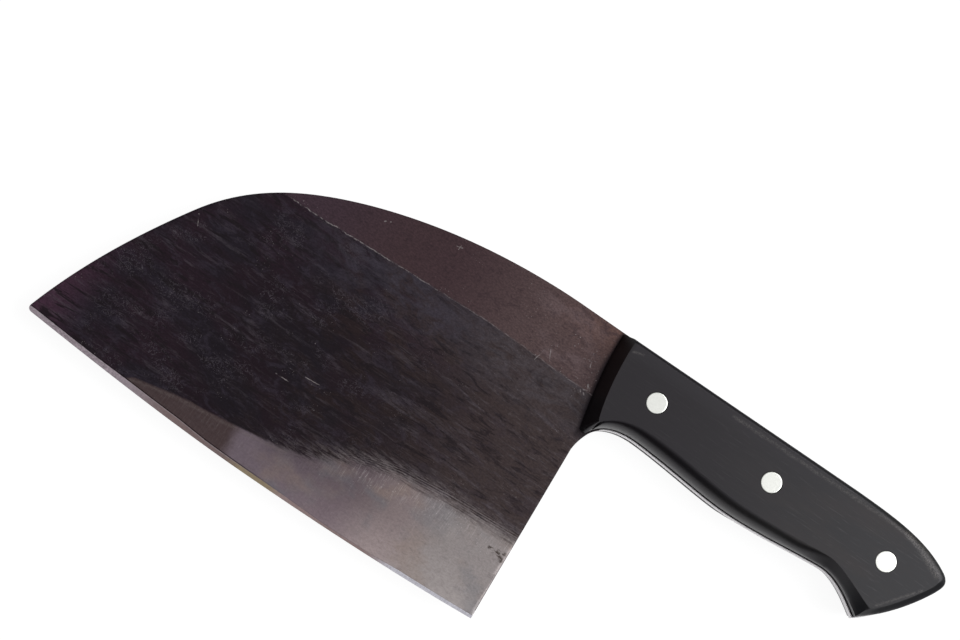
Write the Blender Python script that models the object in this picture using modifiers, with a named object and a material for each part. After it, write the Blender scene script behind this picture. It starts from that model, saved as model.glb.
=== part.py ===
"""A butcher knife: a broad forged blade on a full tang, two handle scales and three cutler's
rivets, each a tube half and a pin half pressed together. It lies flat on its lower scale.

Metres, +Z up. +X runs from the tip to the butt and +Y from the cutting edge to the spine. The
pieces are drawn from the tip and the lowest point of the edge, on the blade's middle plane, and
hang under one empty that puts the origin under the middle of the whole knife."""

from math import sqrt

import bmesh
import bpy
from mathutils import Vector
from mathutils.geometry import interpolate_bezier

# The steel plate: blade and tang
BLADE_LENGTH = 0.1799  # tip to heel, along the knife
BLADE_HEIGHT = 0.1111  # lowest point of the edge to the spine at the handle
PLATE_THICKNESS = 0.0050
PLATE_ROUND = 0.0004  # broken edges of the plate
TIP_RISE = 0.0040  # end of the edge above its lowest point, at the tip
TIP_BLUNT = 0.0019  # how far along the edge the rounding of the tip reaches
HEEL_RISE = 0.0031  # the same at the heel
HEEL_RAKE = 0.0043  # how far the heel stands behind the handle's start
CHOIL_DROP = 0.0283  # rivet row down to the end of the heel's straight back edge

# The grind on each side of the blade
GRIND_HEIGHT = 0.0867  # edge to the ridge, above which the sides are flat
EDGE_HALF = 0.0001  # half the steel's thickness at the edge
EDGE_BEVEL_HEIGHT = 0.0018
EDGE_BEVEL_HALF = 0.0004  # half the thickness at the top of the edge bevel

# The handle
HANDLE_LENGTH = 0.1295  # end of the heel's back edge to the butt
GRIP_DEPTH = 0.0319  # back to belly at the swell
RIVET_ROW_DROP = 0.0143  # spine down to the row of rivets
SCALE_THICKNESS = 0.0082
SCALE_STEP = 0.00065  # how far the plate's edge stands proud of the scales
SCALE_ROUND = 0.0032  # width of a scale's rounded border
SCALE_WALL = 0.0012  # height of the upright wall below that border
SCALE_LEAD = 0.0070  # how far the scales' front reaches ahead of the handle's start
SCALE_SWELL = 0.0058  # how far the front swells ahead of its lower corner
SEAT_GAP = 0.0003  # between pieces that touch

# The rivets
RIVET_COUNT = 3
RIVET_PITCH = 0.0466
RIVET_SETBACK = 0.0144  # handle's start to the front rivet
HEAD_RADIUS = 0.0037
HEAD_THICKNESS = 0.0024
HEAD_RECESS = 0.00005  # heads lie this far below the scales' faces
HEAD_CHAMFER = 0.00015
HEAD_FIT = 0.00015  # round a head in its seat
TUBE_RADIUS = 0.0026
TUBE_WALL = 0.0008
PIN_FIT = 0.0003  # round the pin in its tube

# Fineness of the curved outlines and turned parts
CURVE_STEPS = 10
GRIND_STEPS = 7
ROUND_STEPS = 6
TURN_STEPS = 32

HALF_PLATE = PLATE_THICKNESS / 2
SCALE_SEAT = HALF_PLATE + SEAT_GAP
HALF_HANDLE = SCALE_SEAT + SCALE_THICKNESS
HANDLE_START = BLADE_LENGTH - HEEL_RAKE
RIVET_ROW = BLADE_HEIGHT - RIVET_ROW_DROP


def blade_at(along, up):
    """A point given as shares of the blade's length and height."""
    return Vector((along * BLADE_LENGTH, up * BLADE_HEIGHT))


def grip_at(along, up):
    """A point given as shares of the handle's length and depth, from the row of rivets."""
    return Vector((HANDLE_START + along * HANDLE_LENGTH, RIVET_ROW + up * GRIP_DEPTH))


def straighten(knots, first, second):
    """Makes the stretch between two knots straight, with its handles at the thirds."""
    start, end = knots[first][1], knots[second][1]
    knots[first][2] = start.lerp(end, 1 / 3)
    knots[second][0] = start.lerp(end, 2 / 3)


def plate_knots():
    """The plate's outline, anticlockwise from the tip: knots with a handle on each side."""
    tip_low = Vector((TIP_BLUNT, TIP_RISE))
    tip_high = Vector((0.1 * TIP_BLUNT, TIP_RISE + 1.15 * TIP_BLUNT))
    heel = Vector((BLADE_LENGTH, HEEL_RISE))
    heel_top = Vector((HANDLE_START, RIVET_ROW - CHOIL_DROP))
    front = Vector((HANDLE_START - SCALE_LEAD, BLADE_HEIGHT))
    knots = [
        [Vector((0.3 * TIP_BLUNT, TIP_RISE)), tip_low, Vector((0.165 * BLADE_LENGTH, TIP_RISE / 2))],
        [blade_at(0.333, 0), blade_at(0.491, 0), blade_at(0.659, 0)],
        [Vector((0.828 * BLADE_LENGTH, HEEL_RISE / 4)), heel, heel],
        [heel_top, heel_top, grip_at(0.0007, -0.8016)],
        [grip_at(0.0036, -0.7288), grip_at(0.01, -0.669), grip_at(0.0249, -0.5298)],
        [grip_at(0.0587, -0.4621), grip_at(0.1259, -0.4702), grip_at(0.2201, -0.4796)],
        [grip_at(0.3127, -0.5266), grip_at(0.4031, -0.5266), grip_at(0.5081, -0.5266)],
        [grip_at(0.6031, -0.4608), grip_at(0.7019, -0.4263), grip_at(0.756, -0.4075)],
        [grip_at(0.8062, -0.5549), grip_at(0.8486, -0.6677), grip_at(0.9035, -0.489)],
        [grip_at(0.956, -0.2038), grip_at(0.9861, 0.0251), grip_at(1.0031, 0.1536)],
        [grip_at(1.01, 0.2132), grip_at(0.9745, 0.2947), grip_at(0.888, 0.4859)],
        [grip_at(0.7753, 0.4749), grip_at(0.6672, 0.4749), front],
        [front, front, front],
        [front, blade_at(0.834, 1), blade_at(0.693, 0.997)],
        [blade_at(0.55, 0.961), blade_at(0.416, 0.882), blade_at(0.308, 0.817)],
        [blade_at(0.211, 0.732), blade_at(0.148, 0.567), blade_at(0.088, 0.41)],
        [blade_at(0.034, 0.236), tip_high, Vector((-0.1 * TIP_BLUNT, TIP_RISE + 0.45 * TIP_BLUNT))],
    ]
    straighten(knots, 2, 3)
    straighten(knots, 11, 12)
    straighten(knots, 12, 13)
    return knots


PLATE_KNOTS = plate_knots()
CHOIL_KNOT = 4  # where the scales' front meets the plate's lower outline
FRONT_KNOT = 12  # where it meets the back


def scale_knots():
    """A scale's outline: the handle's own, drawn in by the step, closed by the curved front."""
    knots = inset(PLATE_KNOTS, SCALE_STEP)[CHOIL_KNOT : FRONT_KNOT + 1]
    low, high = knots[0][1], knots[-1][1]
    knots[-1][2] = Vector((high.x, high.y + 0.42 * (low.y - high.y)))
    knots[0][0] = Vector((low.x - SCALE_SWELL, low.y + 0.22 * (high.y - low.y)))
    return knots


def inset(knots, width):
    """The outline drawn in by a width: each knot moves in, and its handles keep their share."""
    points = []
    for left, point, right in knots:
        ahead = (right - point).normalized()
        behind = (point - left).normalized()
        inward = Vector((-ahead.y - behind.y, ahead.x + behind.x))
        points.append(point + inward * width / (1 + ahead.dot(behind)))
    drawn = []
    for index, (left, point, right) in enumerate(knots):
        here, after = points[index], points[(index + 1) % len(knots)]
        before, old_before = points[index - 1], knots[index - 1][1]
        old_after = knots[(index + 1) % len(knots)][1]
        grow_left = (here - before).length / (point - old_before).length
        grow_right = (after - here).length / (old_after - point).length
        drawn.append([here + (left - point) * grow_left, here, here + (right - point) * grow_right])
    return drawn


def sampled(knots, closed=True, steps=CURVE_STEPS):
    """Points along the curve through the knots."""
    points = []
    last = len(knots) if closed else len(knots) - 1
    for index in range(last):
        start, end = knots[index], knots[(index + 1) % len(knots)]
        run = interpolate_bezier(start[1], start[2], end[0], end[1], steps + 1)
        points.extend(run[:-1])
    return points if closed else points + [knots[-1][1]]


def finish_mesh(name, mesh, collection):
    """Puts a mesh in the scene under the knife's empty."""
    body = bpy.data.objects.new(name, mesh)
    collection.objects.link(body)
    body.parent = knife
    mesh.shade_smooth()
    mesh.set_sharp_from_angle(angle=0.6)
    return body


def material(name, colour, roughness, metallic):
    """A plain surface finish."""
    finish = bpy.data.materials.new(name)
    finish.use_nodes = True
    shader = finish.node_tree.nodes["Principled BSDF"]
    shader.inputs["Base Color"].default_value = (*colour, 1)
    shader.inputs["Roughness"].default_value = roughness
    shader.inputs["Metallic"].default_value = metallic
    finish.diffuse_color = (*colour, 1)
    return finish


def cut(body, cutter):
    """Takes the cutter's shape out of the body."""
    boolean = body.modifiers.new(cutter.name, "BOOLEAN")
    boolean.operation = "DIFFERENCE"
    boolean.solver = "EXACT"
    boolean.object = cutter


def hide_cutter(cutter):
    """Keeps a cutter out of the model."""
    cutter.hide_render = True
    cutter.display_type = "WIRE"


def turned(name, profile, collection):
    """A body turned about Z from a profile that runs down its outer side."""
    mesh = bpy.data.meshes.new(name)
    bm = bmesh.new()
    verts = [bm.verts.new((radius, 0, height)) for radius, height in profile]
    for start, end in zip(verts, verts[1:]):
        bm.edges.new((start, end))
    bm.to_mesh(mesh)
    bm.free()
    body = finish_mesh(name, mesh, collection)
    screw = body.modifiers.new("Turn", "SCREW")
    screw.steps = TURN_STEPS
    screw.render_steps = TURN_STEPS
    screw.use_merge_vertices = True
    screw.merge_threshold = 0.00001
    screw.use_smooth_shade = True
    return body


def make_plate():
    """Blade and tang: the outline as a filled curve, extruded, with its edges broken."""
    curve = bpy.data.curves.new("plate_outline", "CURVE")
    curve.dimensions = "2D"
    curve.fill_mode = "BOTH"
    curve.extrude = HALF_PLATE
    curve.resolution_u = CURVE_STEPS
    spline = curve.splines.new("BEZIER")
    spline.bezier_points.add(len(PLATE_KNOTS) - 1)
    for knot, (left, point, right) in zip(spline.bezier_points, PLATE_KNOTS):
        knot.handle_left_type = "FREE"
        knot.handle_right_type = "FREE"
        knot.co = (*point, 0)
        knot.handle_left = (*left, 0)
        knot.handle_right = (*right, 0)
    spline.use_cyclic_u = True
    outline = bpy.data.objects.new("plate_outline", curve)
    cutters.objects.link(outline)
    solid = outline.evaluated_get(bpy.context.evaluated_depsgraph_get())
    mesh = bpy.data.meshes.new_from_object(solid)
    mesh.name = "blade"
    bpy.data.objects.remove(outline)
    bm = bmesh.new()
    bm.from_mesh(mesh)
    bmesh.ops.remove_doubles(bm, verts=bm.verts, dist=0.000001)
    bmesh.ops.dissolve_limit(bm, angle_limit=0.001, verts=bm.verts, edges=bm.edges)
    bmesh.ops.recalc_face_normals(bm, faces=bm.faces)
    bm.to_mesh(mesh)
    bm.free()
    plate = finish_mesh("blade", mesh, parts)
    bevel = plate.modifiers.new("Broken edges", "BEVEL")
    bevel.width = PLATE_ROUND
    bevel.segments = 2
    bevel.limit_method = "ANGLE"
    bevel.angle_limit = 1.2
    bevel.use_clamp_overlap = False
    return plate


def make_grind(side):
    """The steel ground off one side of the blade: a sheet that follows the edge and rises from
    it past the ridge, closed well clear of the plate."""
    edge = sampled(PLATE_KNOTS[0:3], closed=False, steps=GRIND_STEPS)
    edge.insert(0, Vector((-PLATE_THICKNESS, edge[0].y)))
    edge.append(Vector((BLADE_LENGTH + SEAT_GAP, edge[-1].y)))
    bevel_slope = (EDGE_BEVEL_HALF - EDGE_HALF) / EDGE_BEVEL_HEIGHT
    side_slope = (HALF_PLATE - EDGE_BEVEL_HALF) / (GRIND_HEIGHT - EDGE_BEVEL_HEIGHT)
    below = EDGE_HALF / bevel_slope / 2
    above = PLATE_THICKNESS
    rows = [
        (-below, EDGE_HALF / 2),
        (EDGE_BEVEL_HEIGHT, EDGE_BEVEL_HALF),
        (GRIND_HEIGHT + above, HALF_PLATE + above * side_slope),
    ]
    bm = bmesh.new()
    bmesh.ops.create_grid(bm, x_segments=len(edge) - 1, y_segments=len(rows) - 1, size=1)
    for vert in bm.verts:
        column = round((vert.co.x + 1) / 2 * (len(edge) - 1))
        row = round((vert.co.y + 1) / 2 * (len(rows) - 1))
        up, half = rows[row]
        vert.co = (edge[column].x, edge[column].y + up, side * half)
    lid = bmesh.ops.extrude_face_region(bm, geom=list(bm.faces))["geom"]
    for vert in lid:
        if isinstance(vert, bmesh.types.BMVert):
            vert.co.z = side * PLATE_THICKNESS
    bmesh.ops.recalc_face_normals(bm, faces=bm.faces)
    mesh = bpy.data.meshes.new("grind")
    bm.to_mesh(mesh)
    bm.free()
    grind = finish_mesh("grind_upper" if side > 0 else "grind_lower", mesh, cutters)
    hide_cutter(grind)
    return grind


def make_scale(name, side):
    """A handle scale: the handle's outline, upright off the plate, then drawn in to its flat
    face along a quarter of an ellipse."""
    seat = scale_knots()
    foot = sampled(seat)
    face = sampled(inset(seat, SCALE_ROUND))
    levels = [(0, SCALE_SEAT)]
    for step in range(ROUND_STEPS + 1):
        share = step / ROUND_STEPS
        height = SCALE_SEAT + SCALE_WALL + share * (SCALE_THICKNESS - SCALE_WALL)
        levels.append((1 - sqrt(1 - share * share), height))
    bm = bmesh.new()
    rings = []
    for drawn, height in levels:
        ring = [start.lerp(end, drawn) for start, end in zip(foot, face)]
        rings.append([bm.verts.new((point.x, point.y, side * height)) for point in ring])
    count = len(foot)
    for lower, upper in zip(rings, rings[1:]):
        for index in range(count):
            after = (index + 1) % count
            bm.faces.new((lower[index], lower[after], upper[after], upper[index]))
    bm.faces.new(rings[0])
    bm.faces.new(rings[-1])
    bmesh.ops.recalc_face_normals(bm, faces=bm.faces)
    mesh = bpy.data.meshes.new(name)
    bm.to_mesh(mesh)
    bm.free()
    return finish_mesh(name, mesh, parts)


def rivet_profiles():
    """The tube half, the pin half and the stepped hole that both pass through, as profiles."""
    top = HALF_HANDLE - HEAD_RECESS
    under_head = top - HEAD_THICKNESS
    seat = under_head - SEAT_GAP
    bore = TUBE_RADIUS - TUBE_WALL
    pin = bore - PIN_FIT
    head = [
        (0, top),
        (HEAD_RADIUS - HEAD_CHAMFER, top),
        (HEAD_RADIUS, top - HEAD_CHAMFER),
        (HEAD_RADIUS, under_head),
    ]
    tube = [
        *head,
        (TUBE_RADIUS, under_head),
        (TUBE_RADIUS, -seat),
        (bore, -seat),
        (bore, seat),
        (0, seat),
    ]
    shank = [(0, seat - SEAT_GAP), (pin, seat - SEAT_GAP), (pin, -under_head)]
    shank += [(radius, -height) for radius, height in reversed(head)]
    wide = HEAD_RADIUS + HEAD_FIT
    narrow = TUBE_RADIUS + SEAT_GAP
    beyond = HALF_HANDLE + SCALE_THICKNESS / 2
    hole = [
        (0, beyond),
        (wide, beyond),
        (wide, seat),
        (narrow, seat),
        (narrow, -seat),
        (wide, -seat),
        (wide, -beyond),
        (0, -beyond),
    ]
    return tube, shank, hole


def rivet_label(index):
    """What the rivet is called along the handle."""
    if index == 0:
        return "front"
    if index == RIVET_COUNT - 1:
        return "rear"
    return "middle" if RIVET_COUNT == 3 else f"middle_{index}"


for old in list(bpy.data.objects):
    bpy.data.objects.remove(old)

parts = bpy.data.collections.new("butcher_knife")
cutters = bpy.data.collections.new("cutters")
bpy.context.scene.collection.children.link(parts)
bpy.context.scene.collection.children.link(cutters)

outline = sampled(PLATE_KNOTS)
low = Vector((min(point.x for point in outline), min(point.y for point in outline)))
high = Vector((max(point.x for point in outline), max(point.y for point in outline)))
knife = bpy.data.objects.new("butcher_knife", None)
knife.location = (*(-(low + high) / 2), HALF_HANDLE)
parts.objects.link(knife)
bpy.context.view_layer.update()

blade = make_plate()
blade.data.materials.clear()
blade.data.materials.append(material("forged_steel", (0.045, 0.036, 0.034), 0.42, 0.85))
for side in (1, -1):
    cut(blade, make_grind(side))

scales = [make_scale("scale_upper", 1), make_scale("scale_lower", -1)]
for scale in scales:
    scale.data.materials.append(material(scale.name, (0.033, 0.033, 0.034), 0.5, 0))

tube_profile, pin_profile, hole_profile = rivet_profiles()
for index in range(RIVET_COUNT):
    label = rivet_label(index)
    place = (HANDLE_START + RIVET_SETBACK + index * RIVET_PITCH, RIVET_ROW, 0)
    tube = turned(f"rivet_{label}_tube", tube_profile, parts)
    pin = turned(f"rivet_{label}_pin", pin_profile, parts)
    hole = turned(f"rivet_{label}_hole", hole_profile, cutters)
    hide_cutter(hole)
    for piece in (tube, pin, hole):
        piece.location = place
    for piece in (tube, pin):
        piece.data.materials.append(material(piece.name, (0.8, 0.79, 0.75), 0.25, 1))
    for body in (blade, *scales):
        cut(body, hole)
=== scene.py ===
from math import cos, pi, radians, sin, sqrt

import bmesh
import bpy
from mathutils import Matrix, Vector, noise
from mathutils.geometry import interpolate_bezier


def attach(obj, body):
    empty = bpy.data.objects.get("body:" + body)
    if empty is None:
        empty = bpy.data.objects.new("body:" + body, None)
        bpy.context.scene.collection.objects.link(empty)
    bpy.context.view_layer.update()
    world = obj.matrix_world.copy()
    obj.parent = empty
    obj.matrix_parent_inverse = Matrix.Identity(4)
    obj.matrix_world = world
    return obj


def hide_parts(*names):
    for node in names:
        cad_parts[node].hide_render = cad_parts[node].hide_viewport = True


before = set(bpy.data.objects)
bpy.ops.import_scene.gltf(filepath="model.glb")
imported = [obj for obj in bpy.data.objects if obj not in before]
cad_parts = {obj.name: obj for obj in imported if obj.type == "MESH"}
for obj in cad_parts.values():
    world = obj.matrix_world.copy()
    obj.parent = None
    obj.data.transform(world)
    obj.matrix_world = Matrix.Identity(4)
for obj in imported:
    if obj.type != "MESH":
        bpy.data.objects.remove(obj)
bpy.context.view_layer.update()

# The blade and the full tang are one plate of forged carbon steel. Both sides are ground from a
# ridge down to the edge, forge scale is left on them, and a broad area at the heel is ground bare.
# It is drawn in millimetres from the tip, the lowest point of the edge and the middle plane.
MM = 0.001
DRAWN_FROM = Vector((-152.596, -55.977, 11.0)) * MM
HALF_PLATE = 2.5
HEEL = 179.9  # how far along the heel lies
HEEL_RISE = 3.1  # how high its corner lies, and the end of its straight back edge
HEEL_BACK = 68.5
BLADE_HEIGHT = 111.1  # lowest point of the edge to the spine at the handle
TIP_RISE = 4.0  # how high the edge ends at the tip, and how far the tip's rounding reaches
TIP_BLUNT = 1.9
HANDLE_START = 175.6
HANDLE_LENGTH = 129.5
GRIP_DEPTH = 31.9
SPINE_FRONT = 168.6  # where the front of the scales meets the spine
RIVET_ROW = 96.8
RIVETS = {"front": (190.0, RIVET_ROW), "middle": (236.6, RIVET_ROW), "rear": (283.2, RIVET_ROW)}
TUBE_HOLE = 2.9
ROUND_RINGS = ((0.0, 0.40), (0.14, 0.12), (0.36, 0.0))  # the broken edges: width and drop
EDGE_HALF = 0.1  # half thicknesses at the edge and at the top of its bevel
BEVEL_HALF = 0.4
SKIN_SWELL = 0.035  # how far the forged skin rises and falls, in broad waves and in small pits
SKIN_PITS = 0.012
RIDGE_ROLL = 0.03  # how far the ridge stands up, and how deep the bare steel is ground
BARE_SINK = 0.05
PLATE_LENGTH = 305.0
SHEET_HEIGHT = 114.0  # the straightened sheet that the plate is cut from
CELL = 1.15  # mesh of the plate's sides
SLIVER = 0.03  # corners of the mesh that lie closer together become one
BEVEL_ROW = 1.8  # rows of the straightened sheet for the edge's bevel and for the ridge
RIDGE_ROW = 86.0
CREASE_ROWS = (-0.25, 0, 0.25)  # closer rows at those two, and the space that they keep clear
CREASE_SPACE = 0.5
NECK = (64, 76)  # heights between which the ground side runs out into the full tang
HANDLE_FRONT = 172.0
# The width of the edge's bevel, the ridge where the ground side meets the flat above it, and the
# upper end of the bare steel at the heel.
BEVEL_LINE = (
    (0, 1.6), (26, 1.7), (40, 2.0), (62, 2.05), (74, 1.5), (104, 1.35), (122, 0.8), (140, 0.8),
    (151, 1.3), (180, 1.1),
)
RIDGE_LINE = ((30, 84.6), (60, 84.6), (94, 86.4), (128, 88.0), (151, 87.7), (176, 87.4))
BARE_LINE = (
    (30, -1.5), (38.5, 2.6), (42.0, 5.4), (50.0, 7.1), (60.0, 9.2), (72.0, 10.5), (84.0, 12.2),
    (92.8, 13.5), (102.0, 15.2), (109.0, 18.5), (116.0, 22.5), (123.1, 25.4), (132.9, 28.0),
    (150.2, 30.0), (167.0, 31.1), (180.0, 32.0),
)
HANDLE_LINE = (  # the foot of the scale's front, as heights and places along the blade
    (76.7, 173.9), (81.0, 172.5), (85.0, 171.6), (90.0, 170.5), (95.0, 169.5), (99.0, 169.0),
    (108.0, 168.6),
)


def sampled(knots, steps, closed=True):
    """Points along the curve through the knots."""
    points = []
    for index in range(len(knots) if closed else len(knots) - 1):
        start, end = knots[index], knots[(index + 1) % len(knots)]
        ends = [Vector(point) for point in (start[1], start[2], end[0], end[1])]
        points += interpolate_bezier(*ends, steps + 1)[:-1]
    return points if closed else points + [Vector(knots[-1][1])]


def line_height(line, along):
    """How high a line stands at a distance along the knife."""
    for start, end in zip(line, line[1:]):
        if along <= end[0]:
            share = max(0, (along - start[0]) / (end[0] - start[0]))
            return start[1] + share * (end[1] - start[1])
    return line[-1][1]


def smooth_step(low, high, value):
    """A smooth rise from 0 to 1 as the value goes from low to high."""
    share = min(1, max(0, (value - low) / (high - low)))
    return share * share * (3 - 2 * share)


def inset(outline, width):
    """A closed anticlockwise outline, drawn in by a width."""
    points = []
    for before, here, after in zip(outline[-1:] + outline, outline, outline[1:] + outline[:1]):
        sides = [(end - start).normalized() for start, end in ((before, here), (here, after))]
        inward = [Vector((-side.y, side.x)) for side in sides]
        points.append(here + width * (inward[0] + inward[1]) / (1 + inward[0].dot(inward[1])))
    return points


def add_object(name, data):
    """A new object in the scene."""
    made = bpy.data.objects.new(name, data)
    bpy.context.scene.collection.objects.link(made)
    return made


def finished_mesh(drawn):
    """An object's mesh with its modifiers done."""
    graph = bpy.context.evaluated_depsgraph_get()
    return bpy.data.meshes.new_from_object(drawn.evaluated_get(graph))


def fill_outline(name, outlines):
    """A flat sheet inside closed lines, with the holes left open."""
    curve = bpy.data.curves.new(name, "CURVE")
    curve.dimensions = "2D"
    curve.fill_mode = "FRONT"
    for outline in outlines:
        spline = curve.splines.new("POLY")
        spline.points.add(len(outline) - 1)
        for point, place in zip(spline.points, outline):
            point.co = (place[0], place[1], 0, 1)
        spline.use_cyclic_u = True
    drawn = add_object(name, curve)
    mesh = finished_mesh(drawn)
    bpy.data.objects.remove(drawn)
    bm = bmesh.new()
    bm.from_mesh(mesh)
    bpy.data.meshes.remove(mesh)
    bmesh.ops.remove_doubles(bm, verts=bm.verts, dist=0.001)
    within = [edge for edge in bm.edges if not edge.is_boundary]
    bmesh.ops.dissolve_limit(bm, angle_limit=0.001, verts=[], edges=within)
    return bm


def circle(centre, radius, count):
    """Points round a circle, anticlockwise."""
    turns = [2 * pi * step / count for step in range(count)]
    return [Vector((centre[0] + radius * cos(t), centre[1] + radius * sin(t))) for t in turns]


def slice_sheet(bm, place, across):
    """A row of edges right across the sheet, which stays whole."""
    everything = bm.verts[:] + bm.edges[:] + bm.faces[:]
    bmesh.ops.bisect_plane(bm, geom=everything, dist=0.00001, plane_co=place, plane_no=across)


def steps_between(low, high, size):
    """Even steps of about this size, without the two ends."""
    count = int((high - low) / size)
    return [low + (high - low) * step / count for step in range(1, count)]


def drawn_mesh(name, bm):
    """A drawn mesh brought to its place in the knife, in metres."""
    mesh = bpy.data.meshes.new(name)
    bm.to_mesh(mesh)
    bm.free()
    mesh.transform(Matrix.Translation(DRAWN_FROM) @ Matrix.Scale(MM, 4))
    return mesh


def fit_piece(name, mesh, slot, *nodes):
    """A finished piece of the knife, which stands for the plain solids of that name."""
    piece = add_object(name, mesh)
    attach(piece, "root")
    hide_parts(*nodes)
    return piece


def blade_at(along, up):
    """A point given as shares of the blade's length and height."""
    return Vector((along * HEEL, up * BLADE_HEIGHT))


def grip_at(along, up):
    """A point given as shares of the handle's length and depth, from the row of rivets."""
    return Vector((HANDLE_START + along * HANDLE_LENGTH, RIVET_ROW + up * GRIP_DEPTH))


def plate_knots():
    """The outline, anticlockwise from the tip: a handle, a knot and a handle each."""
    heel, heel_back = Vector((HEEL, HEEL_RISE)), Vector((HANDLE_START, HEEL_BACK))
    butt, front = grip_at(0.6672, 0.4749), Vector((SPINE_FRONT, BLADE_HEIGHT))
    spine = blade_at(0.834, 1)
    tip_side = (-0.1 * TIP_BLUNT, TIP_RISE + 0.445 * TIP_BLUNT)
    knots = (
        ((0.3 * TIP_BLUNT, TIP_RISE), (TIP_BLUNT, TIP_RISE), (0.165 * HEEL, TIP_RISE / 2)),
        (blade_at(0.333, 0), blade_at(0.491, 0), blade_at(0.659, 0)),
        ((0.828 * HEEL, HEEL_RISE / 4), heel, heel.lerp(heel_back, 1 / 3)),
        (heel.lerp(heel_back, 2 / 3), heel_back, grip_at(0.0007, -0.8016)),
        ((176.35, 73.50), (177.20, 75.50), (178.70, 79.20)),
        ((183.20, 82.72), (192.56, 82.44), (204.50, 82.13)),
        ((218.50, 80.20), (227.80, 80.00), (241.40, 79.85)),
        (grip_at(0.6031, -0.4608), grip_at(0.7019, -0.4263), grip_at(0.756, -0.4075)),
        (grip_at(0.8062, -0.5549), grip_at(0.8486, -0.6677), grip_at(0.9035, -0.489)),
        (grip_at(0.956, -0.2038), grip_at(0.9861, 0.0251), grip_at(1.0031, 0.1536)),
        (grip_at(1.01, 0.2132), grip_at(0.9745, 0.2947), grip_at(0.888, 0.4859)),
        (grip_at(0.7753, 0.4749), butt, butt.lerp(front, 1 / 3)),
        (butt.lerp(front, 2 / 3), front, front.lerp(spine, 1 / 3)),
        (front.lerp(spine, 2 / 3), spine, blade_at(0.693, 0.997)),
        (blade_at(0.55, 0.961), blade_at(0.416, 0.882), blade_at(0.308, 0.817)),
        (blade_at(0.211, 0.732), blade_at(0.148, 0.567), blade_at(0.088, 0.41)),
        (blade_at(0.034, 0.236), (0.1 * TIP_BLUNT, TIP_RISE + 1.15 * TIP_BLUNT), tip_side),
    )
    return [[[round(value, 2) for value in point] for point in knot] for knot in knots]


# The sheet is first cut straightened, so that rows of its mesh follow the edge and the ridge.
PLATE_KNOTS = plate_knots()
edge_line = sampled(PLATE_KNOTS[:3], 40, closed=False)


def row_heights(along):
    """The heights there of the edge, the top of its bevel and the ridge."""
    edge = line_height(edge_line, along)
    return edge, edge + line_height(BEVEL_LINE, along), line_height(RIDGE_LINE, along)


def straightened(points):
    """Points of the drawing moved to their place on the straightened sheet."""
    placed = []
    for x, y in points:
        edge, bevel, ridge = row_heights(x)
        if y < bevel:
            placed.append(Vector((x, BEVEL_ROW * (y - edge) / (bevel - edge))))
        else:
            rise = (RIDGE_ROW - BEVEL_ROW) * (y - bevel) / (ridge - bevel)
            placed.append(Vector((x, BEVEL_ROW + rise)))
    return placed


lines = [sampled(PLATE_KNOTS, 24)] + [circle(c, TUBE_HOLE, 48)[::-1] for c in RIVETS.values()]
rings = [[straightened(inset(line, width)) for width, _ in ROUND_RINGS] for line in lines]
bm = fill_outline("plate", [ring[-1] for ring in rings])
drop, above_bevel, above_ridge, into_bare, to_handle = [
    bm.verts.layers.float.new(name)
    for name in ("drop", "above_bevel", "above_ridge", "into_bare", "to_handle")]
for ring in rings:
    made = [[bm.verts.new((*point, 0)) for point in line] for line in ring]
    for line, (_, fall) in zip(made, ROUND_RINGS):
        for vert in line:
            vert[drop] = fall
    for outer, inner in zip(made, made[1:]):
        for step in range(len(outer)):
            bm.faces.new((outer[step - 1], outer[step], inner[step], inner[step - 1]))
bmesh.ops.remove_doubles(bm, verts=bm.verts, dist=0.001)
bmesh.ops.recalc_face_normals(bm, faces=bm.faces)
for along in steps_between(0, PLATE_LENGTH, CELL):
    slice_sheet(bm, (along, 0, 0), (1, 0, 0))
creases = [line + shift for line in (BEVEL_ROW, RIDGE_ROW) for shift in CREASE_ROWS]
for row in creases:
    slice_sheet(bm, (0, row, 0), (0, 1, 0))
for row in steps_between(0, SHEET_HEIGHT, CELL):
    if min(abs(row - line) for line in creases) > CREASE_SPACE:
        slice_sheet(bm, (0, row, 0), (0, 1, 0))
bmesh.ops.remove_doubles(bm, verts=bm.verts, dist=SLIVER)
bmesh.ops.dissolve_degenerate(bm, edges=bm.edges, dist=0.01)

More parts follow.
